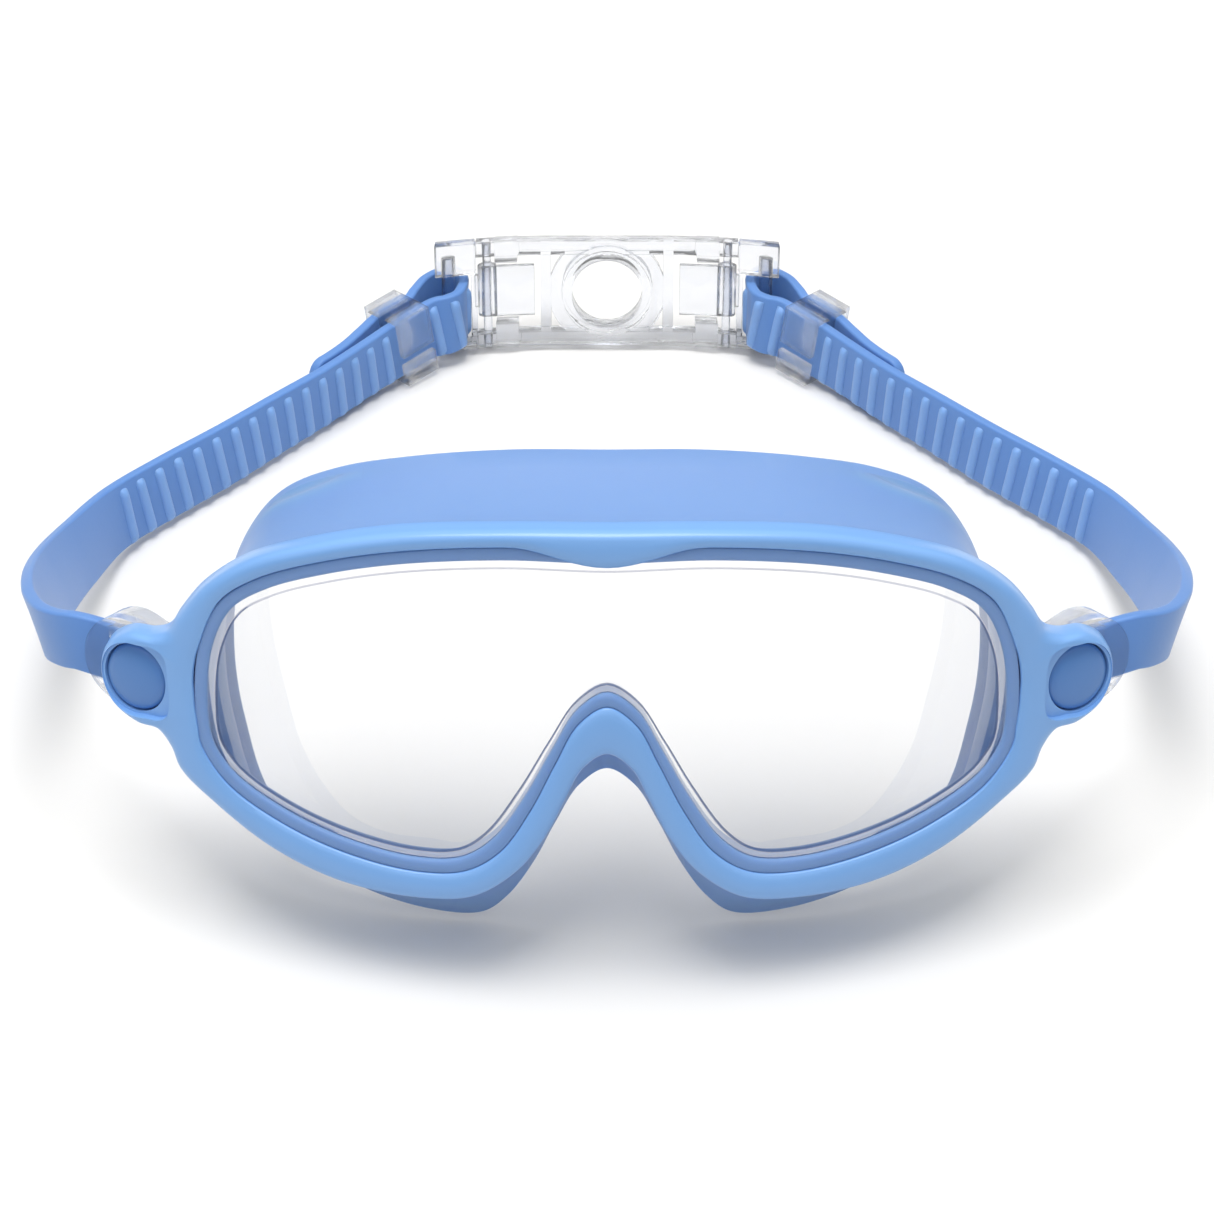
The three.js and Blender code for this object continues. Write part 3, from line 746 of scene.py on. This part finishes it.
def skirt_section(t):
    """From the lip that shows in front, round the lens's slot and the wall to the sealing rim and back."""
    lip, edge, rim = LIP_LINE.at(t), EDGE_LINE.at(t), RIM_LINE.at(t)
    out = (edge - lip).normalized()
    tuck = 0.4 + 2.6 * out.x**4
    flange = 1 - 0.72 * smooth(abs(lip.x), 28, 50)  # the flange narrows at the temples

    def inward(shift, back):
        return rim - out * shift * flange + Vector((0, back, 0))

    slot_back = LENS_DEPTH + LENS_THICKNESS + PLAY
    outer_start = on_bow(edge, out, -tuck, FRAME_BACK + 1.0)
    outer_end = inward(0.1, -1.0)
    inner_start = on_bow(edge, out, -2.1 - tuck, FRAME_BACK + 2.0)
    inner_end = inward(1.6, -1.9)
    wall_out = [outer_end.lerp(outer_start, k / 5) for k in range(6)]
    wall_in = [inner_start.lerp(inner_end, k / 5) for k in range(6)]
    for k in range(1, 5):
        hollow = 0.9 * math.sin(math.pi * k / 5)  # the wall is drawn in between frame and rim
        wall_out[k] = wall_out[k] - out * hollow
        wall_in[k] = wall_in[k] - out * hollow
    return [
        on_bow(lip, out, -0.04, 1.2),
        on_bow(lip, out, -0.04, 0.3),
        on_bow(lip, out, -0.12, 0.08),
        on_bow(lip, out, -0.35, 0.0),
        on_bow(lip, out, -1.3, 0.0),
        on_bow(lip, out, -1.85, 0.12),
        on_bow(lip, out, -2.08, 0.4),
        on_bow(lip, out, -2.1, LENS_DEPTH - PLAY),
        on_bow(lip, out, -0.9, LENS_DEPTH - PLAY),
        on_bow(lip, out, -0.9, slot_back),
        on_bow(lip, out, -1.5, slot_back),
        on_bow(lip, out, -1.6, FRAME_BACK),
        *wall_in,
        inward(3.0, -1.5),
        inward(4.6, -0.9),
        inward(5.6, -0.35),
        inward(5.9, 0.1),
        inward(5.5, 0.3),
        inward(4.2, 0.35),
        inward(2.2, 0.25),
        inward(0.9, 0.15),
        inward(0.25, -0.2),
        *wall_out,
        on_bow(edge, out, -tuck, FRAME_BACK + PLAY + 0.1),
        on_bow(edge, out, -tuck - 0.3, FRAME_BACK + PLAY),
        on_bow(lip, out, -0.1, FRAME_BACK + PLAY),
    ]


def build_skirt():
    loops = [skirt_section(i / SKIRT_STATIONS) for i in range(SKIRT_STATIONS)]
    obj = mesh_of("skirt", skin(loops, ring=True), MASK)
    soften(obj, 50)
    piece(obj, SKIRT_BLUE, "skirt", "mask", "face_skirt")


def build_lens():
    """Clear lens with a bevelled rim: rings round its outline, and strips across its two faces."""
    places = []
    for i in range(1, LENS_STRIPS + 1):
        share = i / LENS_STRIPS
        places.append((LENS_SIDE * (1 - share), mix(LENS_SIDE, 0.5, share)))
    ts = [top for top, _ in reversed(places)] + [low for _, low in places]
    ts += [1 - t for t in reversed(ts[1:-1])]
    back = LENS_DEPTH + LENS_THICKNESS
    # inset from the lip, and depth: the back, the edge, the polished bevel, the step and the front
    rings = (
        (2.8, back),
        (1.3, back),
        (1.2, back - 0.2),
        (1.2, LENS_DEPTH + 0.1),
        (1.3, LENS_DEPTH),
        (2.1, LENS_DEPTH),
        (3.2, LENS_DEPTH - 0.55),
        (3.32, LENS_DEPTH - 0.56),
        (3.62, LENS_DEPTH - 0.3),
        (3.8, LENS_DEPTH - 0.28),
    )
    loops = []
    for inset, depth in rings:
        loop = []
        for t in ts:
            lip, edge = LIP_LINE.at(t), EDGE_LINE.at(t)
            loop.append(on_bow(lip, (edge - lip).normalized(), -inset, depth))
        loops.append(loop)
    verts, faces = skin(loops, caps=False)
    count = len(ts)
    for start in (0, (len(loops) - 1) * count):
        # the outline runs down the right side and up the left, so its two halves pair across
        for step in (1, -1):
            for k in range(1, LENS_STRIPS):
                a, b = LENS_STRIPS - 1 - k, LENS_STRIPS - k
                c, d = LENS_STRIPS - 1 + k, LENS_STRIPS + k
                faces.append(tuple(start + step * n % count for n in (a, b, c, d)))
    obj = mesh_of("lens_clear", (verts, faces), MASK)
    soften(obj, 25)
    piece(obj, LENS_CLEAR, "lens", "mask", "lens")
    bevel_from, step_from, front_from = (ring * count for ring in (5, 6, 8))
    obj.data.materials.append(LENS_BEVEL)
    # The step's faces take the dark painted-shade finish.
    obj.data.materials.append(LENS_STEP_PAINTED_SHADE)
    for number, face in enumerate(obj.data.polygons):
        if bevel_from <= number < step_from:
            face.material_index = 1
        elif step_from <= number < front_from:
            face.material_index = 2


# ---------- buttons and clips ----------
def build_button(side, sign):
    dome = [(0, 0.2), (2.2, 0.27), (3.9, 0.45), (4.8, 0.66), (5.25, 0.9), (5.46, 1.3)]
    rim = [(BUTTON_RADIUS, 2.0), (BUTTON_RADIUS, 3.6)]
    stem = [(3.4, 3.6), (3.3, 3.8), (3.3, 7.7), (3.1, 7.9), (0, 7.9)]
    place = EAR @ Matrix.Translation((BUTTON_X, 0, 0))
    obj = mesh_of(side + "_button_disc", lathe(dome + rim + stem, 72), place, sign)
    soften(obj)
    piece(obj, BUTTON_BLUE, "button", side + "_button", side + "_button")


# ---------- straps ----------
ROOT_STATIONS = (5.3, 9)  # where the held end's middle line starts and ends in the clip
ROOT_TO_FULL = (14, 44)  # the length over which the band widens
BAND_EDGE = 0.55
PATH_STEPS, BAND_STEPS = 1400, 420
BEND = (0.0005, 0.010)  # metres behind the hinge, gathered into the strap's reach, which only makes piece() bake the band in place
TIP = 3  # the length over which the tail's tip is rounded
RIBS_FROM, RIBS_SHORT = 95, 6  # from the clip to the first rib, and from the last one to the tip
RIB_ROOT = 0.35  # how deep a rib's back sits in the band
KEEPER_AT = to_row((43.1, 155.9, 7.7))  # between the keeper's two channels
KEEPER_REACH = 6.6  # the strap is plain this near to it, where a rib would cut into the keeper


def upright(x, y):
    return Vector((x, y, math.sqrt(1 - x * x - y * y)))


def strap_rows():
    """The right strap's middle points and width directions, from inside the clip to the tip."""
    up = MASK.to_3x3() @ Vector((0, 0, 1))
    rows = [(EAR @ Vector((x, CLIP_MIDDLE, 0)), up) for x in ROOT_STATIONS]
    return rows + [(to_row(at), upright(*up)) for at, up in STRAP_ROUTE]


def band_section(at, along, up, width, thick):
    """A flat oval band section with rounded edges."""
    across = (up - along * up.dot(along)).normalized()
    outward = along.cross(across).normalized()
    half, radius = thick / 2, BAND_EDGE
    points = []
    for n_sign, w_sign, start in ((1, 1, 0), (-1, 1, 90), (-1, -1, 180), (1, -1, 270)):
        for k in range(4):
            angle = math.radians(start + 30 * k)
            n = n_sign * (half - radius) + radius * math.cos(angle)
            w = w_sign * (width / 2 - radius) + radius * math.sin(angle)
            points.append(at + outward * n + across * w)
    return points


class StrapPath:
    """The strap's middle line, measured by length."""

    def __init__(self):
        rows = strap_rows()
        self.line = Spline([at for at, _ in rows])
        self.ups = Spline([up for _, up in rows])
        self.table = []
        total, before = 0.0, self.line.at(0)
        for i in range(PATH_STEPS + 1):
            here = self.line.at(i / PATH_STEPS)
            total += (here - before).length
            self.table.append((total, i / PATH_STEPS))
            before = here
        self.length = total

    def at(self, distance):
        """The middle point, the way along and the way across at this length."""
        low, high = 0, len(self.table) - 1
        while high - low > 1:
            middle = (low + high) // 2
            if self.table[middle][0] < distance:
                low = middle
            else:
                high = middle
        (a, ta), (b, tb) = self.table[low], self.table[high]
        t = mix(ta, tb, 0 if b == a else (distance - a) / (b - a))
        return self.line.at(t), self.line.along(t), self.ups.at(t).normalized()


def tip_width(tip):
    """The share of the full width that is left this near to the tail's tip."""
    if tip >= TIP:
        return 1
    return math.sqrt(max(0.04, 1 - ((TIP - tip) / 3.2) ** 2)) * 0.5 + 0.5


def build_strap(side, sign, path):
    loops = []
    for i in range(BAND_STEPS + 1):
        distance = path.length * i / BAND_STEPS
        at, along, up = path.at(distance)
        width = mix(STRAP_ROOT_WIDTH, STRAP_WIDTH, smooth(distance, *ROOT_TO_FULL))
        width *= tip_width(path.length - distance)
        loops.append(band_section(at, along, up, width, STRAP_THICKNESS))
    obj = mesh_of(side + "_strap_band", skin(loops), mirror=sign)
    soften(obj, 50)
    hinge = to_row(HINGE_AT) * MM
    reach = ("harness", *((0, hinge.y + back, hinge.z) for back in BEND))
    piece(obj, STRAP_BLUE, "strap", "mask", side + "_strap", side + "_strap_end", across=reach)


def rib_form(low, high):
    """One rib: a low rounded bar across the strap, with its round back inside the band."""
    loops = []
    for k in range(13):
        z = mix(low, high, k / 12)
        near_end = min(z - low, high - z)
        tall = (RIB_ROOT + RIB_HEIGHT) * (0.3 + 0.7 * smooth(near_end, 0, 1.2))
        loop = []
        for j in range(9):
            angle = math.pi * j / 8
            loop.append(Vector((math.cos(angle) * RIB_WIDTH / 2, tall * math.sin(angle) - RIB_ROOT, z)))
        loops.append(loop)
    return skin(loops)


def rib_tree(rib, finish):
    """Geometry Nodes: the rib on every guide point, turned as the guide says."""
    tree = bpy.data.node_groups.new("ribs_on_strap", "GeometryNodeTree")
    tree.interface.new_socket("Geometry", in_out="INPUT", socket_type="NodeSocketGeometry")
    size = tree.interface.new_socket("Rib size", in_out="INPUT", socket_type="NodeSocketFloat")
    size.default_value = 1.0
    tree.interface.new_socket("Geometry", in_out="OUTPUT", socket_type="NodeSocketGeometry")
    new = tree.nodes.new
    link = tree.links.new
    group_in, group_out = new("NodeGroupInput"), new("NodeGroupOutput")
    info = new("GeometryNodeObjectInfo")
    info.inputs["Object"].default_value = rib
    turn = new("GeometryNodeInputNamedAttribute")
    turn.data_type = "FLOAT_VECTOR"
    turn.inputs["Name"].default_value = "turn"
    euler = new("FunctionNodeEulerToRotation")
    place = new("GeometryNodeInstanceOnPoints")
    real = new("GeometryNodeRealizeInstances")
    paint = new("GeometryNodeSetMaterial")
    paint.inputs["Material"].default_value = finish
    link(group_in.outputs["Geometry"], place.inputs["Points"])
    link(info.outputs["Geometry"], place.inputs["Instance"])
    link(turn.outputs["Attribute"], euler.inputs["Euler"])
    link(euler.outputs["Rotation"], place.inputs["Rotation"])
    link(group_in.outputs["Rib size"], place.inputs["Scale"])
    link(place.outputs["Instances"], real.inputs["Geometry"])
    link(real.outputs["Geometry"], paint.inputs["Geometry"])
    link(paint.outputs["Geometry"], group_out.inputs["Geometry"])
    return tree, size.identifier


def build_ribs(side, sign, path):
    """Ribs on the strap's inner face, which turns outward behind the bar."""
    guide = bpy.data.meshes.new(side + "_rib_guide")
    points, turns = [], []
    distance = RIBS_FROM
    while distance < path.length - RIBS_SHORT:
        at, along, up = path.at(distance)
        distance += RIB_PITCH
        if (at - KEEPER_AT).length < KEEPER_REACH:
            continue
        across = (up - along * up.dot(along)).normalized()
        face = -along.cross(across).normalized()
        base = at + face * STRAP_THICKNESS / 2
        x_axis, y_axis, z_axis = along.copy(), face.copy(), across.copy()
        if sign < 0:
            for v in (base, x_axis, y_axis, z_axis):
                v.x = -v.x
            x_axis.negate()
        turns.append(Matrix((x_axis, y_axis, z_axis)).transposed().to_euler())
        points.append(base * MM)
    guide.from_pydata([tuple(p) for p in points], [], [])
    turn = guide.attributes.new("turn", "FLOAT_VECTOR", "POINT")
    for i, euler in enumerate(turns):
        turn.data[i].vector = (euler.x, euler.y, euler.z)
    obj = bpy.data.objects.new(side + "_strap_ribs", guide)
    bpy.context.collection.objects.link(obj)
    rib = mesh_of(side + "_rib", rib_form(-STRAP_WIDTH / 2 + 0.1, STRAP_WIDTH / 2 - 1.3))
    # The ribs get the lighter copy of the strap's silicone, with the light on the rib tops painted in.
    tree, size = rib_tree(rib, RIB_PAINTED_LIGHT_BLUE)
    grow = obj.modifiers.new("ribs", "NODES")
    grow.node_group = tree
    grow[size] = 1.0
    settled(obj)
    bpy.data.objects.remove(rib, do_unlink=True)
    soften(obj, 60)
    piece(obj, RIB_PAINTED_LIGHT_BLUE, "strap", "harness")


# ---------- clear parts ----------
def clear_part(node, name, width, body, finish=CLEAR_PLASTIC, segments=2):
    """A clear part: its CAD node's own shape, with the edges rounded by this width."""
    piece(from_node(node, name, width, segments), finish, "clear_parts", body, node)


def build_clear_parts(side):
    clear_part(side + "_side_clip", side + "_clip_clear", 0.5, "mask", KEEPER_CLEAR, 3)
    clear_part(side + "_keeper", side + "_keeper_clear", 0.35, side + "_keeper", KEEPER_CLEAR)
    clear_part(side + "_bail", side + "_bail_clear", 0.25, "harness")
    clear_part(side + "_strap_bar", side + "_bar_clear", 0.2, "harness")
    clear_part(side + "_lever", side + "_lever_clear", 0.3, side + "_lever")
    clear_part(side + "_lever_pin", side + "_pin_clear", 0.15, "harness")


# ---------- build ----------
studio()
build_frame()
build_skirt()
build_lens()
strap_path = StrapPath()
for side, sign in SIDES:
    build_button(side, sign)
    build_strap(side, sign, strap_path)
    build_ribs(side, sign, strap_path)
    build_clear_parts(side)
clear_part("buckle_frame", "buckle_clear", 0.3, "harness")
